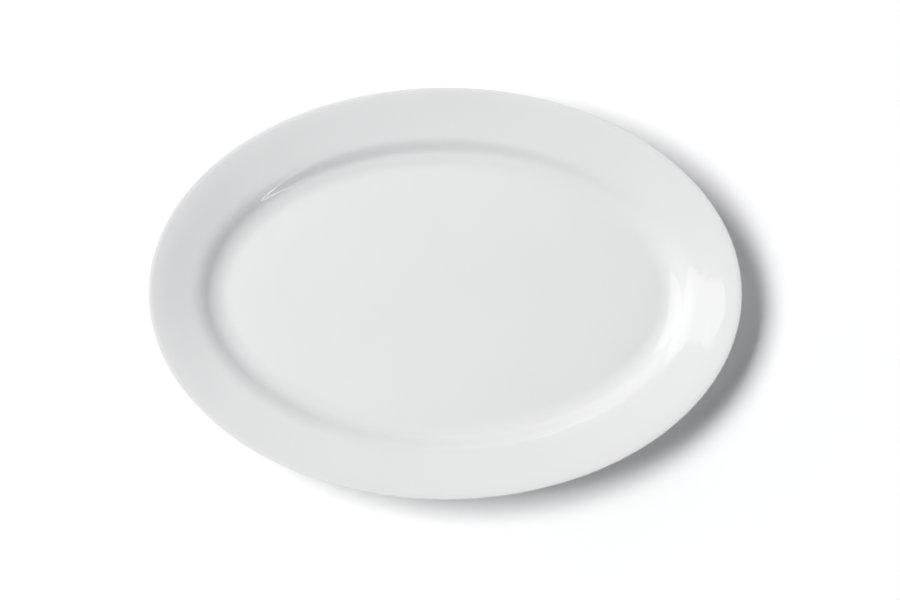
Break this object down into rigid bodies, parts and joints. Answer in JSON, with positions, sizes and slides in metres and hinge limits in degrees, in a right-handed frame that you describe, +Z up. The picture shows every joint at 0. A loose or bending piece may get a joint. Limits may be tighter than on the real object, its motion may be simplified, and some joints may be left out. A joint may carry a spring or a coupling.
{
  "type": "serving platter",
  "caption": "Oval serving platter in plain white glazed porcelain, with a gently sloping rim, a shallow flat-floored well and a foot ring.",
  "frame": {"origin": "under the middle of the platter, on the surface the foot ring stands on", "axes": "+X along the platter's length, +Y along its width, +Z up out of the well"},
  "size_m": [0.36, 0.25, 0.025],
  "materials": {
    "porcelain": "matt, fired and unglazed, at the wiped foot ring",
    "glaze": "clear gloss glaze over white porcelain"
  },
  "bodies": {
    "root": {"porcelain_body": "porcelain", "glaze_coat": "glaze", "base_glaze": "glaze"}
  },
  "joints": []
}
